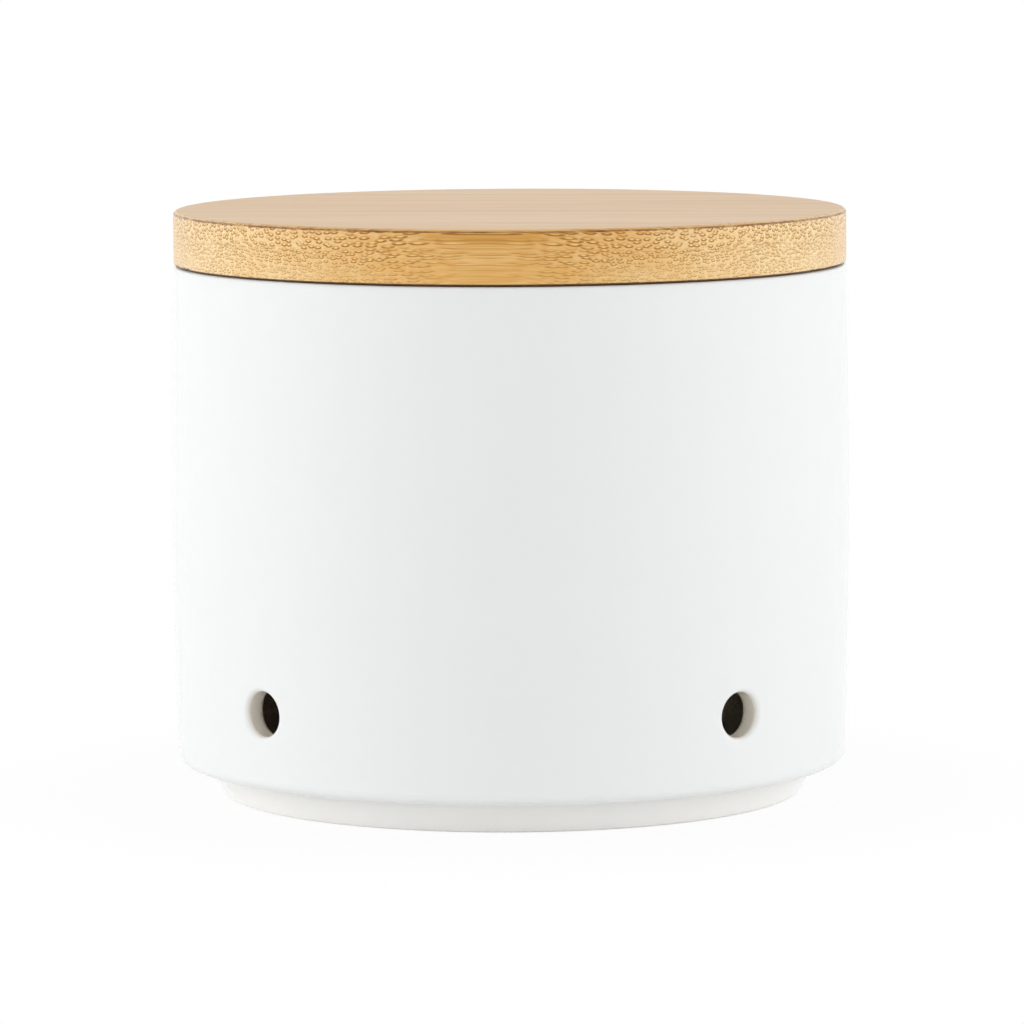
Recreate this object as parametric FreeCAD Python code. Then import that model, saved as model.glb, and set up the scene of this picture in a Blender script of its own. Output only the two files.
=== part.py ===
import FreeCAD, Part
import math
import os

# Garlic keeper: a glazed stoneware pot with air vents near its floor, closed by a turned bamboo lid.
# All lengths are millimetres. +Z is up through the lid, and the origin is the middle of the plane
# that the foot rests on. The four vents lie close to the X and Y axes.

# Pot
rim_radius = 61.15        # outside of the pot, level with its rim
rim_height = 96.2         # from the table to the rim
wall = 4.3
belly_swell = 0.5         # how far the widest part of the wall stands out past the rim
belly_drop = 36.2         # from the rim down to the widest part
base_draw = 0.25          # how far the wall draws in at its lower end
rim_round = 0.7
base_round = 2.0          # rounded lower corner of the wall, above the foot
mouth_depth = 18.0        # straight stretch inside the rim, where the lid's seal slides

# Foot and floor
foot_height = 5.75
foot_setback = 4.9        # from the wall's lower end in to the top of the foot
foot_taper = 3.4          # how much the foot narrows on its way down
foot_width = 5.4          # width of the ring that the pot rests on
foot_round = 0.6
recess_draft = 1.2        # how much the hollow under the pot narrows on its way up
recess_sink = 1.55        # how far the roof of that hollow lies below the step
floor_thickness = 5.0
floor_round = 5.5         # inside corner between floor and wall

# Vents
vent_radius = 4.05
vent_rise = 10.4          # from the floor's upper face to the middle of a vent
vent_spread = 87.3        # degrees between two neighbouring vents
vent_edge_round = 0.9

# Lid board, the upper layer of bamboo
board_thickness = 9.7
board_inset = 0.15        # how far the board's edge stays inside the rim's
board_top_round = 0.9
board_bottom_round = 0.5
seat_gap = 0.2            # from the rim to the board's underside
board_strips = 6          # bamboo strips of one width, glued edge to edge
grain_turn = 43.75        # degrees that the grain is turned from the X axis

# Plug, the lower layer of bamboo
plug_clearance = 1.2      # from the plug to the mouth's wall
plug_strips = 5           # fewer than above, so the glue lines of the two layers don't meet
plug_shoulder = 1.8       # from the board's underside down to the groove
plug_lip = 1.6            # below the groove
plug_round = 1.0
groove_depth = 2.0

# Seal ring, soft silicone in the plug's groove
seal_height = 4.4
seal_play = 0.1           # room above and below the ring in its groove
seal_fit = 0.05           # running clearance at the groove's bottom and at the mouth's wall
seal_inset = 0.1          # how far the band stays inside the plug's face
rib_radius = 0.9          # the two ribs that reach the mouth's wall

# Worked out from the sizes above
base_radius = rim_radius - base_draw
belly_radius = rim_radius + belly_swell
belly_height = rim_height - belly_drop
foot_top_radius = base_radius - foot_setback
foot_radius = foot_top_radius - foot_taper
recess_radius = foot_radius - foot_width
recess_height = foot_height - recess_sink
floor_height = recess_height + floor_thickness
mouth_radius = rim_radius - wall
vent_height = floor_height + vent_rise
board_radius = rim_radius - board_inset
board_height = rim_height + seat_gap
plug_radius = mouth_radius - plug_clearance
groove_height = seal_height + 2 * seal_play
groove_top = board_height - plug_shoulder
groove_radius = plug_radius - groove_depth
plug_depth = plug_shoulder + groove_height + plug_lip

UP = FreeCAD.Vector(0, 0, 1)
ORIGIN = FreeCAD.Vector(0, 0, 0)


def at(radius, height):
    """A point of a profile, to be turned round the Z axis."""
    return FreeCAD.Vector(radius, 0, height)


def turned(edges):
    """The solid that a closed profile sweeps on a full turn round the Z axis."""
    face = Part.Face(Part.Wire(edges))
    return face.revolve(ORIGIN, UP, 360)


def straight(points):
    """Straight edges from each point to the next."""
    return [Part.LineSegment(a, b).toShape() for a, b in zip(points, points[1:])]


def bulging(low, middle, high):
    """One arc through three points of the wall."""
    return [Part.Arc(low, middle, high).toShape()]


def circles_at(shape, radius, height):
    """The edges of a turned solid that are circles of that radius at that height."""
    found = []
    for edge in shape.Edges:
        if not isinstance(edge.Curve, Part.Circle):
            continue
        off = abs(edge.Curve.Radius - radius) + abs(edge.Curve.Center.z - height)
        if off < 0.01:
            found.append(edge)
    return found


def rounded(shape, size, spots):
    """The turned solid with its circular edges at those spots rounded."""
    edges = []
    for radius, height in spots:
        edges += circles_at(shape, radius, height)
    return shape.makeFillet(size, edges)


def pot_body():
    """The pot with no vents: wall, floor and foot, cast in one piece."""
    outer_low = at(base_radius, foot_height)
    outer_high = at(rim_radius, rim_height)
    mouth_low = at(mouth_radius, rim_height - mouth_depth)
    inner_low = at(base_radius - wall, floor_height)
    under = [
        at(0, recess_height),
        at(recess_radius - recess_draft, recess_height),
        at(recess_radius, 0),
        at(foot_radius, 0),
        at(foot_top_radius, foot_height),
        outer_low,
    ]
    edges = straight(under)
    edges += bulging(outer_low, at(belly_radius, belly_height), outer_high)
    edges += straight([outer_high, at(mouth_radius, rim_height), mouth_low])
    edges += bulging(mouth_low, at(belly_radius - wall, belly_height), inner_low)
    edges += straight([inner_low, at(0, floor_height), under[0]])
    body = turned(edges)
    body = rounded(body, floor_round, [(base_radius - wall, floor_height)])
    body = rounded(body, base_round, [(base_radius, foot_height)])
    body = rounded(body, foot_round, [(foot_radius, 0), (recess_radius, 0)])
    body = rounded(body, rim_round, [(rim_radius, rim_height), (mouth_radius, rim_height)])
    return body


def vent_directions():
    """One level direction for each vent: a front pair and the same pair opposite."""
    directions = []
    for half_turn in (0, 180):
        for side in (-1, 1):
            angle = math.radians(45 + half_turn + side * vent_spread / 2)
            directions.append(FreeCAD.Vector(math.sin(angle), -math.cos(angle), 0))
    return directions


def edges_of_vent(shape, direction):
    """The two edges that a vent leaves, on the wall's outside and inside."""
    found = []
    for edge in shape.Edges:
        middle = edge.BoundBox.Center
        reach = middle.dot(direction)
        beside = middle - direction * reach - FreeCAD.Vector(0, 0, vent_height)
        if reach > 0 and beside.Length < vent_radius / 2 and edge.BoundBox.ZLength > vent_radius:
            found.append(edge)
    return found


def pot():
    """The whole pot: the body with a round vent through the wall in each direction."""
    shape = pot_body()
    shape.rotate(ORIGIN, UP, 45)      # the seam of the turned faces goes between two vents
    for direction in vent_directions():
        start = direction * (belly_radius - 3 * wall)
        start.z = vent_height
        shape = shape.cut(Part.makeCylinder(vent_radius, 6 * wall, start, direction))
    edges = []
    for direction in vent_directions():
        edges += edges_of_vent(shape, direction)
    return shape.makeFillet(vent_edge_round, edges)


def board():
    """The board as one disc, before it is divided into strips."""
    top = board_height + board_thickness
    profile = [at(0, board_height), at(board_radius, board_height), at(board_radius, top), at(0, top)]
    disc = turned(straight(profile + profile[:1]))
    disc = rounded(disc, board_top_round, [(board_radius, top)])
    return rounded(disc, board_bottom_round, [(board_radius, board_height)])


def plug():
    """The plug as one disc with the groove for the seal, before it is divided into strips."""
    bottom = board_height - plug_depth
    low = groove_top - groove_height
    profile = [
        at(0, bottom),
        at(plug_radius, bottom),
        at(plug_radius, low),
        at(groove_radius, low),
        at(groove_radius, groove_top),
        at(plug_radius, groove_top),
        at(plug_radius, board_height),
        at(0, board_height),
    ]
    disc = turned(straight(profile + profile[:1]))
    return rounded(disc, plug_round, [(plug_radius, bottom)])


def in_strips(disc, radius, count):
    """The disc divided into strips along the grain, then turned as the lid lies on the pot."""
    lines = [radius * (2 * number / count - 1) for number in range(1, count)]
    lines = [-2 * radius] + lines + [2 * radius]      # the outer strips reach past the disc's edge
    box = disc.BoundBox
    strips = []
    for near, far in zip(lines, lines[1:]):
        corner = FreeCAD.Vector(-2 * radius, near, box.ZMin - 1)
        strip = disc.common(Part.makeBox(4 * radius, far - near, box.ZLength + 2, corner))
        strip.rotate(ORIGIN, UP, grain_turn)
        strips.append(strip)
    return strips


def seal():
    """A flat silicone band with two ribs round it, which close the gap to the mouth's wall."""
    inner = groove_radius + seal_fit
    outer = plug_radius - seal_inset
    low = groove_top - seal_play - seal_height
    band = Part.makeCylinder(outer, seal_height, at(0, low))
    rib_centre = mouth_radius - seal_fit - rib_radius
    for share in (0.25, 0.75):
        height = low + share * seal_height
        band = band.fuse(Part.makeTorus(rib_centre, rib_radius, at(0, height), UP))
    return band.cut(Part.makeCylinder(inner, 3 * seal_height, at(0, low - seal_height)))


def single(shape):
    """The one solid that a shape holds, with faces that continue each other merged."""
    whole = shape.removeSplitter()
    if len(whole.Solids) != 1 or not whole.isValid():
        raise ValueError("a piece did not come out as one sound solid")
    return whole.Solids[0]


pieces = {"pot": pot(), "seal_ring": seal()}
for number, strip in enumerate(in_strips(board(), board_radius, board_strips), start=1):
    pieces["board_strip_%d" % number] = strip
for number, strip in enumerate(in_strips(plug(), plug_radius, plug_strips), start=1):
    pieces["plug_strip_%d" % number] = strip

os.makedirs("parts", exist_ok=True)
for name, shape in pieces.items():
    solid = single(shape)
    solid.exportStep("parts/%s.step" % name)
    box = solid.BoundBox
    print("%-15s volume %9.1f mm3, height %6.2f to %6.2f" % (name, solid.Volume, box.ZMin, box.ZMax))
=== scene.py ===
# %% [markdown]
# A garlic keeper is a stoneware pot for a few bulbs of garlic. Holes near its floor let air in, so that
# the garlic dries and doesn't sprout, and a loose lid keeps it dark. This lesson dresses a finished
# construction model of one. The shapes are right already, so nearly all the work is in the surfaces:
# white glaze over clay, and bamboo cut at every angle to its fibres.
# The model comes in as a frame of named solids, in metres, with +Z up.

# %% Load the model
import math
import random

import bpy
from mathutils import Matrix, Vector


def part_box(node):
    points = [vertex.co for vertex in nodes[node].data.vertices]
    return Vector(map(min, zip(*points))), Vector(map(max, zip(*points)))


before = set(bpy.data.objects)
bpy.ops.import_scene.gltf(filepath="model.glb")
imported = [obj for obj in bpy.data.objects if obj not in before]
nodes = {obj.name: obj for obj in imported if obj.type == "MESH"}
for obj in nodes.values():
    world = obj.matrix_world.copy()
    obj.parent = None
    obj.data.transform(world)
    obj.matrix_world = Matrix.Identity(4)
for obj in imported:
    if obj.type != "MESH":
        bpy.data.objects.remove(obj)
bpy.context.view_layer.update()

# %% [markdown]
# Everything here is placed from the model's own boxes, so the numbers below are read from it and not
# written again. The lid is glued up from bamboo strips. Which way their grain runs is read from the
# first and the last strip: the line from one to the other crosses the grain.

# %% Read the sizes that the finishes need
MM = 0.001
BOARD = sorted(name for name in nodes if name.startswith("board_strip_"))
PLUG = sorted(name for name in nodes if name.startswith("plug_strip_"))


def middle(name):
    """The mean of a node's faces, each counted by its area."""
    faces = nodes[name].data.polygons
    total = sum(face.area for face in faces)
    return sum((face.center * face.area for face in faces), Vector()) / total


across = middle(BOARD[-1]) - middle(BOARD[0])
GRAIN = math.atan2(-across.x, across.y)
board_low, board_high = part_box(BOARD[0])
plug_low, plug_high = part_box(PLUG[0])
pot_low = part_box("pot")[0]
print("grain is turned", round(math.degrees(GRAIN), 2), "degrees")
print("board from", round(board_low.z, 4), "to", round(board_high.z, 4))
print("plug from", round(plug_low.z, 4), "to", round(plug_high.z, 4))

# %% [markdown]
# The picture was taken from about a metre away with a long lens, a little above the lid, so the lid's
# top shows only as a thin ellipse. The camera's place was worked out from that ellipse, the seam under
# the lid and the edge of the foot. It stands between two vents.

# %% Set up the camera
EYE_DISTANCE = 1.1255
EYE_HEIGHT = 0.1752
EYE_TURN = math.radians(47.55)     # round the pot, from the side of -Y
EYE_YAW = math.radians(0.008)      # the pot stands this little beside the picture's middle
EYE_TILT = math.radians(6.317)
EYE_ROLL = math.radians(0.281)
LENS = 218.25
SENSOR = 36.0
NEAREST = 0.05


def look(turn, tilt, roll):
    """A camera's turn, looking in along +Y when turn is 0, tipped down by tilt and rolled by roll."""
    round_the_pot = Matrix.Rotation(turn, 4, "Z")
    tipped = Matrix.Rotation(math.pi / 2 - tilt, 4, "X")
    rolled = Matrix.Rotation(roll, 4, "Z")
    return round_the_pot @ tipped @ rolled


def beside_pot(turn, distance, height):
    """A place at that distance from the pot's axis, turned round it from the side of -Y."""
    return (distance * math.sin(turn), -distance * math.cos(turn), height)


eye = bpy.data.objects.new("camera", bpy.data.cameras.new("camera"))
bpy.context.scene.collection.objects.link(eye)
eye.data.lens = LENS
eye.data.sensor_width = SENSOR
eye.data.clip_start = NEAREST
eye.matrix_world = look(EYE_TURN - EYE_YAW, EYE_TILT, -EYE_ROLL)
eye.location = beside_pot(EYE_TURN, EYE_DISTANCE, EYE_HEIGHT)
bpy.context.scene.camera = eye
print("camera at", [round(value, 3) for value in eye.location])

# %% [markdown]
# A material here is a graph of small nodes. Written out one by one they hide the idea, so a small
# helper makes them by short calls: each call makes one node, feeds it and gives back its output.
# All patterns use the piece's own coordinates, so they stay on it when the lid is lifted or turned.

# %% A helper that writes materials
WHITE = (1.0, 1.0, 1.0, 1.0)
CREEP = (1.0, 0.95, 0.9)     # red light creeps a little further through milky stuff than blue


def tone(red, green, blue):
    """A colour as read off a screen, from 0 to 255, made linear for the shader."""
    linear = []
    for value in (red, green, blue):
        share = value / 255
        linear.append(((share + 0.055) / 1.055) ** 2.4 if value > 10 else share / 12.92)
    return (*linear, 1.0)


class Recipe:
    """One material. A value is a number, a colour, or the output of an earlier call."""

    def __init__(self, name, owner=None):
        self.material = owner or bpy.data.materials.new(name)
        self.material.use_nodes = True
        self.tree = self.material.node_tree
        self.surface = self.tree.nodes.get("Principled BSDF")

    def feed(self, socket, value):
        if isinstance(value, bpy.types.NodeSocket):
            self.tree.links.new(value, socket)
        elif value is not None:
            socket.default_value = value

    def node(self, kind, *values, **settings):
        made = self.tree.nodes.new("ShaderNode" + kind)
        for key, value in settings.items():
            setattr(made, key, value)
        for socket, value in zip(made.inputs, values):
            self.feed(socket, value)
        return made

    def math(self, operation, *values):
        return self.node("Math", *values, operation=operation).outputs[0]

    def product(self, first, *others):
        """All the values multiplied together."""
        for other in others:
            first = self.math("MULTIPLY", first, other)
        return first

    def vector(self, operation, *values):
        made = self.node("VectorMath", *values, operation=operation)
        return made.outputs["Value" if operation in ("LENGTH", "DOT_PRODUCT") else "Vector"]

    def split(self, vector):
        return self.node("SeparateXYZ", vector).outputs

    def join(self, x, y, z):
        return self.node("CombineXYZ", x, y, z).outputs[0]

    def fade(self, value, start, end):
        """0 up to start, 1 from end on, and a smooth climb between them. start may be above end."""
        made = self.node("MapRange", value, start, end, 0.0, 1.0, interpolation_type="SMOOTHSTEP")
        return made.outputs[0]

    def span(self, value, low, high):
        """A value from 0 to 1 stretched to run from low to high."""
        return self.node("MapRange", value, 0.0, 1.0, low, high).outputs[0]

    def noise(self, vector, scale, detail=2.0):
        made = self.node("TexNoise", vector, None, scale, detail)
        return made.outputs[0]

    def blend(self, share, first, second):
        """The first colour where share is 0 and the second where it is 1."""
        made = self.tree.nodes.new("ShaderNodeMix")
        made.data_type = "RGBA"
        for name, value in (("Factor_Float", share), ("A_Color", first), ("B_Color", second)):
            socket = next(s for s in made.inputs if s.identifier == name)
            self.feed(socket, value)
        return next(s for s in made.outputs if s.identifier == "Result_Color")

    def bump(self, height, depth, under=None):
        """A relief: height runs from 0 to 1, and depth is how far 1 stands out, in metres."""
        made = self.tree.nodes.new("ShaderNodeBump")
        made.inputs["Strength"].default_value = 1.0
        made.inputs["Distance"].default_value = depth
        self.feed(made.inputs["Height"], height)
        self.feed(made.inputs["Normal"], under)
        return made.outputs[0]

    def upward(self):
        """How far a point's surface faces up: 1 on a level top, 0 on a wall, -1 on an underside."""
        return self.split(self.node("NewGeometry").outputs["Normal"])[2]

    def make_milky(self, weight, reach):
        """Lets a share of the light go in and come out again near by, within reach in metres."""
        self.surface.inputs["Subsurface Weight"].default_value = weight
        self.surface.inputs["Subsurface Radius"].default_value = CREEP
        self.surface.inputs["Subsurface Scale"].default_value = reach

    def finish(self, **inputs):
        for name, value in inputs.items():
            self.feed(self.surface.inputs[name.replace("_", " ")], value)
        return self.material


def in_millimetres(recipe, turn=0.0):
    """The piece's own coordinates in millimetres, turned so that X runs along the grain."""
    place = recipe.node("TexCoord").outputs["Object"]
    mapping = recipe.node("Mapping", place)
    mapping.inputs["Rotation"].default_value = (0.0, 0.0, -turn)
    mapping.inputs["Scale"].default_value = (1 / MM, 1 / MM, 1 / MM)
    return mapping.outputs[0]


def dress(name, material):
    """Puts one material on the whole of a node."""
    nodes[name].data.materials.clear()
    nodes[name].data.materials.append(material)


print("middle grey of a screen is", round(tone(128, 128, 128)[0], 3), "in linear light")

# %% [markdown]
# Bamboo has no rings. Its wall is soft pale pith with hard brown bundles of fibre standing in it, all
# along the culm: few and large towards the hollow inside, many and fine towards the skin. Cut across,
# the bundles are dots; cut along, they are long lines; and round a turned edge the one passes into the
# other. A flat picture of dots or lines can't do that, so the pattern is made as a solid: cells in the
# plane across the grain, drawn out endlessly along it. Each bundle has a dark cap on the side of the
# skin and a pale middle, and it stands a little proud, since sanding takes more of the soft pith. In
# the lid the skin side is below, so the dark cap is also painted shade under each raised bundle, and
# the pale middle is partly a painted highlight on it.

# %% One size of fibre bundle
COARSE = (0.82, 0.8)     # room for one bundle near the hollow, across and down, in millimetres
FINE = (0.6, 0.58)       # and near the skin
SCATTER = 0.8            # 0 sets the bundles in rows, 1 anywhere in their rooms
# how far from a bundle's middle, in shares of its room
RAISED = (0.40, 0.18)    # it starts to rise, and is at its full height
CORE = (0.14, 0.26)      # its pale middle ends, and its sheath is at its darkest
SHELL = (0.50, 0.36)     # beyond the sheath, and well within it
# the sheath and cap are darkest on the side of the skin, the lower side in the lid: partly real, partly
# painted shade
SKIN_SIDE = (-0.1, 0.15)
HOLLOW_SIDE_DARK = 0.25  # a sheath is this dark on the side of the hollow, and 1 on the side of the skin
FAINTEST = 0.5           # no bundle is fainter than this share of the strongest


def bundles(recipe, beside, depth, room):
    """One size of bundle. Gives how far each point stands out, and how dark it is."""
    rooms_beside = recipe.math("DIVIDE", beside, room[0])
    rooms_down = recipe.math("DIVIDE", depth, room[1])
    in_rooms = recipe.join(rooms_beside, rooms_down, 0.0)
    cell = recipe.node("TexVoronoi", in_rooms, voronoi_dimensions="2D")
    cell.inputs["Scale"].default_value = 1.0
    cell.inputs["Randomness"].default_value = SCATTER
    away = recipe.vector("SUBTRACT", in_rooms, cell.outputs["Position"])
    skinwards = recipe.split(away)[1]
    near = cell.outputs["Distance"]
    raised = recipe.fade(near, *RAISED)
    sheath = recipe.product(recipe.fade(near, *CORE), recipe.fade(near, *SHELL))
    # darker on the side of the skin, below in the lid: a real fibre cap and painted shade under the
    # raised bundle
    cap_and_painted_shade = recipe.product(sheath, recipe.span(recipe.fade(skinwards, *SKIN_SIDE), HOLLOW_SIDE_DARK, 1.0))
    chance = recipe.split(cell.outputs["Color"])[0]
    strength = recipe.span(recipe.fade(chance, 0.0, 0.5), FAINTEST, 1.0)
    return recipe.product(raised, strength), recipe.product(cap_and_painted_shade, strength)


print("a bundle has", COARSE, "mm near the hollow and", FINE, "mm near the skin")

# %% [markdown]
# One strip of bamboo is a function of where it was cut from. The top of every strip lies towards the
# hollow of its culm, so the wall's depth is measured from there, round the culm's axis: near the top
# the bundles are coarse, and further down they are fine. Fibres aren't quite straight either. They
# wander by a millimetre or so over the length of a strip, and so does the crowd that they stand in.

# %% Where a point was in the culm
INSIDE_RADIUS = 42.0                    # of the culm's hollow; all lengths here are in millimetres
WANDERING = (0.016, 0.05, 0.05)         # how often fibres turn along, beside and down, per millimetre
WANDER_DOWN = 0.8
WANDER_BESIDE = 1.5
SHIFT_BESIDE = 3.7                      # how much further beside than along the pattern is moved
CROWDS = (1.0, 0.12, 0.16)              # how often bundles crowd and thin out
CROWDED = (0.3, 0.55)
THINNED = 0.45                          # what is left of bundles where they are few
ALWAYS_CROWDED = (4.0, 2.0)             # depths between which the front rows fill up
COARSE_TO_FINE = (3.2, 5.6)             # depths between which coarse bundles give way to fine ones
FADING = (4.0, 9.0)                     # depths between which fine bundles grow faint
FADED = 0.6


def in_culm(r, own, below, shift):
    """A point's depth in the culm's wall, its place beside, and how far its fibre drifts down."""
    drift = r.node("TexNoise", r.vector("MULTIPLY", own, WANDERING), None, 1.0, 2.0).outputs["Color"]
    drift_beside, drift_down = r.split(drift)[:2]
    beside = r.split(own)[1]
    radius = r.vector("LENGTH", r.join(beside, r.math("ADD", below, INSIDE_RADIUS), 0.0))
    depth = r.math("SUBTRACT", radius, INSIDE_RADIUS)
    depth = r.math("ADD", depth, r.span(drift_down, -WANDER_DOWN, WANDER_DOWN))
    wander = r.math("ADD", beside, shift * SHIFT_BESIDE)
    wander = r.math("ADD", wander, r.span(drift_beside, -WANDER_BESIDE, WANDER_BESIDE))
    return depth, wander, drift_down


def all_bundles(r, wander, depth):
    """Coarse and fine bundles together. Gives how far each point stands out, and how dark it is."""
    crowd = r.vector("MULTIPLY", r.join(0.0, wander, depth), CROWDS)
    crowding = r.span(r.fade(r.noise(crowd, 1.0, 1.0), *CROWDED), THINNED, 1.0)
    crowding = r.math("MAXIMUM", crowding, r.fade(depth, *ALWAYS_CROWDED))
    fine_share = r.fade(depth, *COARSE_TO_FINE)
    coarse_share = r.math("SUBTRACT", 1.0, fine_share)
    fine_share = r.product(fine_share, r.span(r.fade(depth, *FADING), 1.0, FADED))
    coarse = bundles(r, wander, depth, COARSE)
    fine = bundles(r, wander, depth, FINE)
    both = []
    for of_coarse, of_fine in zip(coarse, fine):
        mixed = r.math("ADD", r.product(of_coarse, coarse_share), r.product(of_fine, fine_share))
        both.append(r.product(mixed, crowding))
    return both


print("coarse bundles give way to fine ones from", COARSE_TO_FINE[0], "to", COARSE_TO_FINE[1], "mm down")

# %% [markdown]
# The colour is built up in coats. The pith is speckled by fine fibre and golden in patches. Where the
# lid's edge cuts across the fibres it is paler. Where it cuts along them it is calmer, with an amber
# zone under the top, because the soft front of the wall takes up the most oil. Then come the bundles,
# with a golden sheath and a brown cap, partly painted shade below each bundle, a bright middle that is
# partly a painted highlight, and the hairs of glue between the strips. The rounding above the edge is
# darker in patches, and the rounding below it is painted dark all round as shade at the seam.

# %% A strip of bamboo
PITH = tone(226, 176, 98)
PALE = tone(243, 211, 152)
GOLD = tone(228, 166, 72)
ENDS = tone(253, 230, 182)
AMBER = tone(208, 144, 36)
# the bundles' colours: the bright core is partly a painted highlight, the sheath and cap partly painted
# shade
BRIGHT_AND_PAINTED_HIGHLIGHT = tone(254, 222, 140)
SHEATH_AND_PAINTED_SHADE = tone(206, 148, 56)
CAP_AND_PAINTED_SHADE = tone(146, 80, 0)
GLUE = tone(176, 128, 74)
# darker patches on the rounding above the lid's edge
DARK_PATCHES = tone(116, 62, 20)
# painted shade: the rounding below the lid's edge, dark all round at the seam over the pot
PAINTED_SEAM_SHADE = tone(72, 34, 6)

THREADS = (0.03, 1.0, 1.0)       # fine fibre, far longer than it is wide
PATCHES = (0.01, 0.2, 0.25)      # golden patches, longer still
PLANED = (0.3, 0.9)              # how far up a surface faces, from the edge to the planed top
PLANED_SHOWS = 0.35              # a planed face shows this share of the fibres that an edge shows
ACROSS = (0.15, 0.9)             # how squarely an edge cuts the fibres, from not at all to all
SIDE_ON = (0.55, 0.2)            # how nearly it runs along them
LENGTHWISE = (0.26, 0.1)         # and where it runs along them almost exactly
ENDS_PALER = 0.6
SOAKED_FRONT = (3.6, 0.6)        # depths in the wall that soak up oil, none to most, in millimetres
SOAKED_SHARE = 0.45
AMBER_ZONE = (2.4, 1.9)          # how far under the top the amber zone ends, in millimetres
AMBER_RAGGED = 0.5
ON_THE_EDGE = (0.5, 0.1)
CALM_FROM = (2.0, 3.0)           # below this depth an edge that is cut lengthwise is calm
CALM = 0.4
GOLDEN_BODY = (3.2, 1.8)         # bundles in front of this depth are golden throughout
BRIGHT_CORE = (1.0, 2.2)         # and behind this one they have a bright middle
BRIGHT_SHARE = 0.5
SHEATH_GAIN = 1.5
CAP_SHARE = 0.75
GLUE_WIDTH = (0.2, 0.05)         # from the line between two strips, in millimetres
GLUE_SHARE = 0.14
FIBRE_RELIEF = 0.5               # how far fine fibre stands out beside a bundle's 1
PLANED_RELIEF = 0.12             # and how much of all relief is left on the planed top
RELIEF = 0.009 * MM


def ground(r, fibre, patch, plain, gold):
    """Pith, speckled by fine fibre and golden in patches."""
    speckle = r.math("SUBTRACT", r.fade(fibre, 0.3, 0.7), 0.5)
    colour = r.blend(r.math("ADD", r.product(speckle, plain), 0.5), PITH, PALE)
    return r.blend(r.product(r.span(patch, 0.2, 0.8), gold), colour, GOLD)


def amber(r, depth, edge, facing, side_on, lengthwise):
    """Where the edge is amber: in front of the wall, and in one zone where it is cut lengthwise."""
    soaked = r.product(r.fade(depth, *SOAKED_FRONT), side_on, SOAKED_SHARE)
    soaked = r.math("MAXIMUM", soaked, r.product(r.fade(edge, *AMBER_ZONE), lengthwise))
    return r.product(soaked, r.fade(facing, *ON_THE_EDGE))


def with_bundles(r, colour, up, dark, depth, side_on, plain):
    """Golden bodies, bright cores partly painted highlight, sheaths and caps partly painted shade."""
    body = r.product(up, side_on, r.fade(depth, *GOLDEN_BODY), plain)
    colour = r.blend(body, colour, AMBER)
    # the bright middle is partly a painted highlight on the raised bundle
    core_and_painted_highlight = r.product(up, up, r.fade(depth, *BRIGHT_CORE), plain, BRIGHT_SHARE)
    colour = r.blend(core_and_painted_highlight, colour, BRIGHT_AND_PAINTED_HIGHLIGHT)
    # the sheath and cap, darkest on the lower side, are partly painted shade
    dark = r.product(dark, plain)
    colour = r.blend(r.math("MINIMUM", r.product(dark, SHEATH_GAIN), 1.0), colour, SHEATH_AND_PAINTED_SHADE)
    return r.blend(r.product(dark, CAP_SHARE), colour, CAP_AND_PAINTED_SHADE)


def with_dark_patches_and_painted_seam_shade(r, colour, place, facing):
    """The colour with the upper rounding darker in patches, and the lower one painted shade all round."""
    above = r.product(r.fade(facing, 0.24, 0.4), r.fade(facing, 0.78, 0.6))
    above = r.product(above, r.span(r.noise(place, 0.25, 3.0), -0.1, 1.4))
    colour = r.blend(above, colour, DARK_PATCHES)
    # painted shade at the seam: the rounding below the edge is dark all round
    below = r.product(r.fade(facing, -0.3, -0.6), r.fade(facing, -0.995, -0.95))
    return r.blend(below, colour, PAINTED_SEAM_SHADE)


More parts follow.
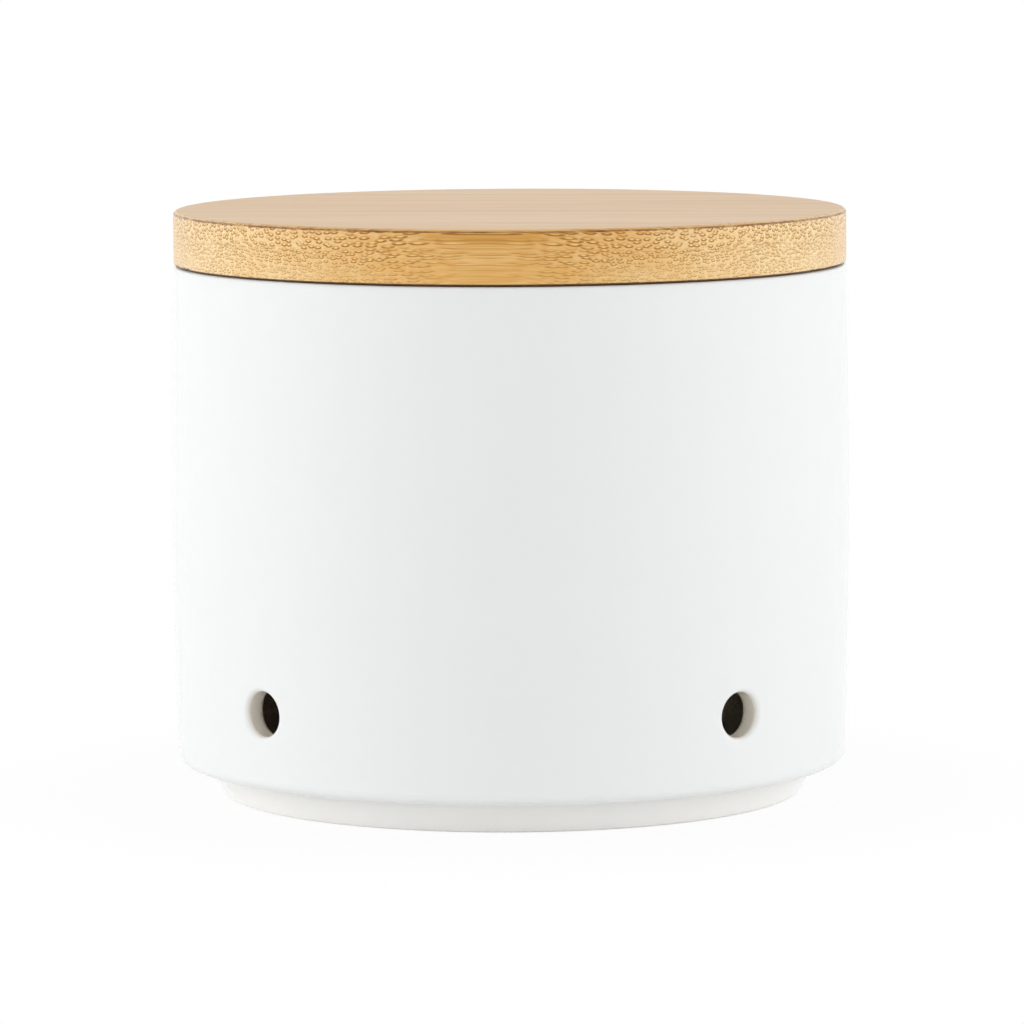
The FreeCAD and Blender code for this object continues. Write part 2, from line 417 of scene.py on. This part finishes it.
def bamboo(name, sides, glued, top, shift, gold):
    """sides of the strip across the grain and its top are in millimetres; gold is 0 to 1."""
    r = Recipe(name)
    centre = (sides[0] + sides[1]) / 2
    place = in_millimetres(r, GRAIN)
    own = r.vector("ADD", place, (shift, -centre, 0.0))
    beside, height = r.split(own)[1:3]
    below = r.math("SUBTRACT", top, height)
    depth, wander, drift_down = in_culm(r, own, below, shift)
    up, dark = all_bundles(r, wander, depth)
    fibre = r.noise(r.vector("MULTIPLY", own, THREADS), 2.6, 4.0)
    patch = r.fade(r.noise(r.vector("MULTIPLY", own, PATCHES), 1.0, 2.0), 0.3, 0.7)
    facing = r.upward()
    planed = r.fade(facing, *PLANED)
    plain = r.span(planed, 1.0, PLANED_SHOWS)
    colour = ground(r, fibre, patch, plain, gold)
    # how the edge cuts the fibres
    along_grain = (math.cos(GRAIN), math.sin(GRAIN), 0.0)
    own_normal = r.node("TexCoord").outputs["Normal"]
    end_on = r.math("ABSOLUTE", r.vector("DOT_PRODUCT", own_normal, along_grain))
    side_on = r.fade(end_on, *SIDE_ON)
    lengthwise = r.fade(end_on, *LENGTHWISE)
    colour = r.blend(r.span(r.fade(end_on, *ACROSS), 0.0, ENDS_PALER), colour, ENDS)
    edge = r.math("ADD", below, r.span(drift_down, -AMBER_RAGGED, AMBER_RAGGED))
    soaked = amber(r, depth, edge, facing, side_on, lengthwise)
    colour = r.blend(r.product(soaked, r.span(patch, 0.7, 0.95)), colour, AMBER)
    calm = r.span(r.product(lengthwise, r.fade(depth, *CALM_FROM)), 1.0, CALM)
    up = r.product(up, calm)
    dark = r.product(dark, calm)
    colour = with_bundles(r, colour, up, dark, depth, side_on, plain)
    for side, has_glue in zip(sides, glued):
        if has_glue:
            off = r.math("ABSOLUTE", r.math("SUBTRACT", beside, side - centre))
            colour = r.blend(r.product(r.fade(off, *GLUE_WIDTH), GLUE_SHARE), colour, GLUE)
    colour = with_dark_patches_and_painted_seam_shade(r, colour, place, facing)
    relief = r.math("ADD", up, r.product(fibre, FIBRE_RELIEF))
    relief = r.bump(r.product(relief, r.span(planed, 1.0, PLANED_RELIEF)), RELIEF)
    rough = r.span(fibre, 0.24, 0.4)
    return r.finish(Base_Color=colour, Roughness=rough, Normal=relief, IOR=1.5)


print("pale pith is", [round(value, 3) for value in PALE[:3]], "in linear light")

# %% [markdown]
# Strips of one board come from different culms, so each gets its own tone and its own stretch of the
# pattern. The board's first three strips are nearest to the camera, so their tones are listed.
# Chance decides the others.

# %% Dress the strips
CHOSEN_GOLD = {BOARD[0]: 0.8, BOARD[1]: 0.15, BOARD[2]: 0.6}
CHOSEN_SHIFT = {BOARD[0]: 40.0}
random.seed(11)


def finish_layer(names, low, high):
    """Gives each strip of one layer its own bamboo."""
    thickness = (high.z - low.z) / MM
    turned = Matrix.Rotation(-GRAIN, 3, "Z")
    for name in names:
        sides = [(turned @ vertex.co).y / MM for vertex in nodes[name].data.vertices]
        sides = (min(sides), max(sides))
        glued = (name != names[0], name != names[-1])
        shift = CHOSEN_SHIFT.get(name, random.uniform(-400.0, 400.0))
        gold = CHOSEN_GOLD.get(name, random.uniform(0.35, 0.9))
        dress(name, bamboo(name, sides, glued, high.z / MM, shift, gold))
        print(name, "from", round(sides[0], 1), "to", round(sides[1], 1), "thick", round(thickness, 1))


finish_layer(BOARD, board_low, board_high)
finish_layer(PLUG, plug_low, plug_high)

# %% [markdown]
# The pot is cast in a mould, dipped in white glaze and fired once more. Glaze is glass, so it is glossy
# and a little uneven. White glaze is milky glass: light creeps a little way through it and softens the
# edges, and on the foot and in the vents, where it lies thin, the clay under it makes it warmer. There
# it is also painted lighter than the glaze, as painted light on the shaded foot and in the vent walls.
# Two places stay bare: the ring that the pot stands on, which would stick to the kiln's shelf, and the
# inside below the mouth, where clay takes up damp from the garlic. So little light comes in by the
# vents that the pale clay inside looks nearly black through them. One material does both, told apart
# by where a point is: its height, and how far it is from the pot's axis.

# %% Glaze
GLAZE = tone(240, 242, 242)
# these two are lighter than the glaze: on the shaded foot and in the vent walls that is painted light
WARM = tone(252, 251, 247)
THIN = tone(253, 246, 235)
CLAY = tone(222, 206, 184)
# all lengths here are in millimetres
VENT_RADIUS = 4.05
VENT_ROUNDED = 0.4                 # how far round a vent the thin glaze reaches
VENT_HEIGHT = 19.6
VENT_TURN = math.radians(1.35)     # how far the vents stand from the X and Y axes
FOOT_HEIGHT = 5.75
RING_BARE = (0.35, 0.12)           # heights between which the bare ring under the foot begins
RING_LEVEL = (-0.7, -0.9)          # and how far down its surface faces there
GLAZED_FROM = 77.0                 # up from here the inside of the mouth is glazed
BARE_WITHIN = 58.2                 # the inside of the wall is nearer to the axis than this
BARE_ABOVE = (6.0, 8.0)            # the hollow under the pot is glazed, the floor inside is bare
GLAZE_WAVES = 0.06 * MM
CLAY_GRAIN = 0.08 * MM
GLAZE_CREEP = 2.0 * MM


def from_line(recipe, place, direction):
    """How far a point is from a level line through the pot's axis at the height of the vents."""
    offset = recipe.vector("SUBTRACT", place, (0.0, 0.0, VENT_HEIGHT))
    return recipe.vector("LENGTH", recipe.vector("CROSS_PRODUCT", offset, direction))


def bare_clay(r, place, radius, height):
    """1 where the clay is bare: on the ring under the foot, and inside below the mouth."""
    ragged = r.span(r.noise(place, 0.7, 3.0), -1.0, 1.0)
    ring = r.fade(r.math("ADD", height, r.product(ragged, 0.1)), *RING_BARE)
    ring = r.product(ring, r.fade(r.upward(), *RING_LEVEL))
    inside = r.product(r.fade(radius, BARE_WITHIN + 0.4, BARE_WITHIN - 0.4), r.fade(height, *BARE_ABOVE))
    undipped = r.fade(r.math("ADD", height, ragged), GLAZED_FROM + 0.5, GLAZED_FROM - 0.5)
    return r.math("MAXIMUM", ring, r.product(inside, undipped))


def glaze():
    r = Recipe("glaze")
    place = in_millimetres(r)
    x, y, height = r.split(place)
    radius = r.vector("LENGTH", r.join(x, y, 0.0))
    one_pair = from_line(r, place, (math.sin(VENT_TURN), -math.cos(VENT_TURN), 0.0))
    other_pair = from_line(r, place, (math.cos(VENT_TURN), -math.sin(VENT_TURN), 0.0))
    from_vent = r.math("MINIMUM", one_pair, other_pair)
    cloud = r.noise(place, 0.06, 3.0)
    colour = r.blend(r.span(cloud, 0.0, 0.12), GLAZE, WARM)
    # round the vents the paler thin glaze is also painted light in the vent walls
    colour = r.blend(r.fade(from_vent, VENT_RADIUS + VENT_ROUNDED, VENT_RADIUS), colour, THIN)
    # on the foot the paler warm glaze is also painted light, lifting its shade
    colour = r.blend(r.fade(height, FOOT_HEIGHT + 0.6, FOOT_HEIGHT - 0.4), colour, WARM)
    bare = bare_clay(r, place, radius, height)
    grain = r.noise(place, 2.5, 5.0)
    colour = r.blend(bare, colour, r.blend(r.fade(grain, 0.3, 0.7), CLAY, THIN))
    rough = r.math("ADD", r.span(bare, 0.1, 0.8), r.span(cloud, -0.02, 0.03))
    relief = r.bump(r.noise(place, 0.16, 2.0), GLAZE_WAVES)
    relief = r.bump(r.product(grain, bare), CLAY_GRAIN, relief)
    r.make_milky(0.4, GLAZE_CREEP)
    return r.finish(Base_Color=colour, Roughness=rough, Normal=relief, IOR=1.52)


dress("pot", glaze())
print("the pot is glazed, but bare inside up to", GLAZED_FROM, "mm and on the ring that it stands on")

# %% [markdown]
# The seal is a moulded band of clear silicone. Silicone is cloudy rather than clear, so light goes a
# little way in and comes out again near by: that is subsurface scattering. It holds dust, which dulls it.

# %% Silicone
CLEAN = tone(226, 226, 221)
DUSTY = tone(238, 236, 230)
SILICONE_GRAIN = 0.02 * MM
SILICONE_CREEP = 1.5 * MM


def silicone():
    r = Recipe("silicone")
    place = in_millimetres(r)
    dust = r.fade(r.noise(place, 0.9, 5.0), 0.45, 0.75)
    colour = r.blend(dust, CLEAN, DUSTY)
    rough = r.span(dust, 0.38, 0.6)
    relief = r.bump(r.noise(place, 3.0, 3.0), SILICONE_GRAIN)
    r.make_milky(0.5, SILICONE_CREEP)
    return r.finish(Base_Color=colour, Roughness=rough, Normal=relief, IOR=1.42)


dress("seal_ring", silicone())
print("light goes about", round(SILICONE_CREEP / MM, 1), "mm into the seal")

# %% [markdown]
# The picture was taken in a white tent, so there is no hard shadow and no bright spot: the pot's sides
# are a little lighter than its front, where the tent is open for the camera, and the lid's top is
# darker. Here the world is that tent for diffuse light, bright near the horizon and dimmer above, and
# plain white for everything that looks straight at it or mirrors it. The floor is white paper. It keeps
# a faint shadow under the pot, and further out it is white.

# %% Tent and floor
TENT_SIDES = 1.17
TENT_TOP = 0.35
HORIZON_TO_TOP = (0.1, 0.9)
FLOOR_SIZE = 6.0
FLOOR_SINK = 0.0002          # the paper lies this little below the foot, so that they don't touch
PAPER = (0.9, 0.9, 0.9, 1.0)
SHADOW_ENDS = (0.055, 0.12)  # how far from the pot's axis the shadow fades into white, in metres
NEAR_WHITE = 0.93            # how much of the white glow the paper has under the pot


def seen_or_mirrored(r):
    """1 for rays that reach a surface straight from the camera, in a mirror or through glass."""
    path = r.node("LightPath").outputs
    mirrored = r.math("MAXIMUM", path["Is Glossy Ray"], path["Is Transmission Ray"])
    return r.math("MAXIMUM", path["Is Camera Ray"], mirrored)


def tent():
    world = bpy.data.worlds.new("tent")
    world.use_nodes = True
    bpy.context.scene.world = world
    r = Recipe("tent", world)
    upwards = r.split(r.node("TexCoord").outputs["Generated"])[2]
    level = r.span(r.fade(upwards, *HORIZON_TO_TOP), TENT_SIDES, TENT_TOP)
    lit = r.tree.nodes["Background"]
    r.feed(lit.inputs["Color"], WHITE)
    r.feed(lit.inputs["Strength"], level)
    white = r.node("Background", WHITE, 1.0)
    mixed = r.node("MixShader", seen_or_mirrored(r), lit.outputs[0], white.outputs[0])
    r.tree.links.new(mixed.outputs[0], r.tree.nodes["World Output"].inputs[0])


def paper_floor():
    mesh = bpy.data.meshes.new("floor")
    half = FLOOR_SIZE / 2
    level = pot_low.z - FLOOR_SINK
    corners = [(-half, -half, level), (half, -half, level), (half, half, level), (-half, half, level)]
    mesh.from_pydata(corners, [], [(0, 1, 2, 3)])
    floor = bpy.data.objects.new("floor", mesh)
    bpy.context.scene.collection.objects.link(floor)
    r = Recipe("paper")
    r.finish(Base_Color=PAPER, Roughness=0.9)
    away = r.vector("LENGTH", r.node("TexCoord").outputs["Object"])
    glow = r.product(seen_or_mirrored(r), r.span(r.fade(away, *SHADOW_ENDS), NEAR_WHITE, 1.0))
    white = r.node("Emission", WHITE, 1.0)
    mixed = r.node("MixShader", glow, r.surface.outputs[0], white.outputs[0])
    r.tree.links.new(mixed.outputs[0], r.tree.nodes["Material Output"].inputs[0])
    mesh.materials.append(r.material)


tent()
paper_floor()
print("the floor lies at", round(pot_low.z - FLOOR_SINK, 4), "m")

# %% [markdown]
# Two large soft lamps stand at the sides. They light the pot, but the glaze doesn't mirror them: it
# mirrors the tent, so no bright square shows in it. Their powers were set by laying the render beside
# the picture.

# %% Lamps
LAMP_HEIGHT = 0.4
LAMP_DISTANCE = 1.4
LAMP_SIZE = 1.0
AIM_HEIGHT = 0.06


def lamp(name, turn, power):
    """A soft square lamp aimed at the pot, placed by its turn from the camera in degrees."""
    light = bpy.data.lights.new(name, "AREA")
    light.shape = "SQUARE"
    light.size = LAMP_SIZE
    light.energy = power
    holder = bpy.data.objects.new(name, light)
    bpy.context.scene.collection.objects.link(holder)
    holder.location = beside_pot(EYE_TURN + math.radians(turn), LAMP_DISTANCE, LAMP_HEIGHT)
    aim = Vector((0.0, 0.0, AIM_HEIGHT)) - holder.location
    holder.rotation_euler = aim.to_track_quat("-Z", "Y").to_euler()
    holder.visible_glossy = False
    print(name, "of", power, "watts at", [round(value, 2) for value in holder.location])


lamp("left_lamp", -78.0, 7.8)
lamp("right_lamp", 76.0, 6.8)
bpy.context.scene.view_settings.view_transform = "Standard"
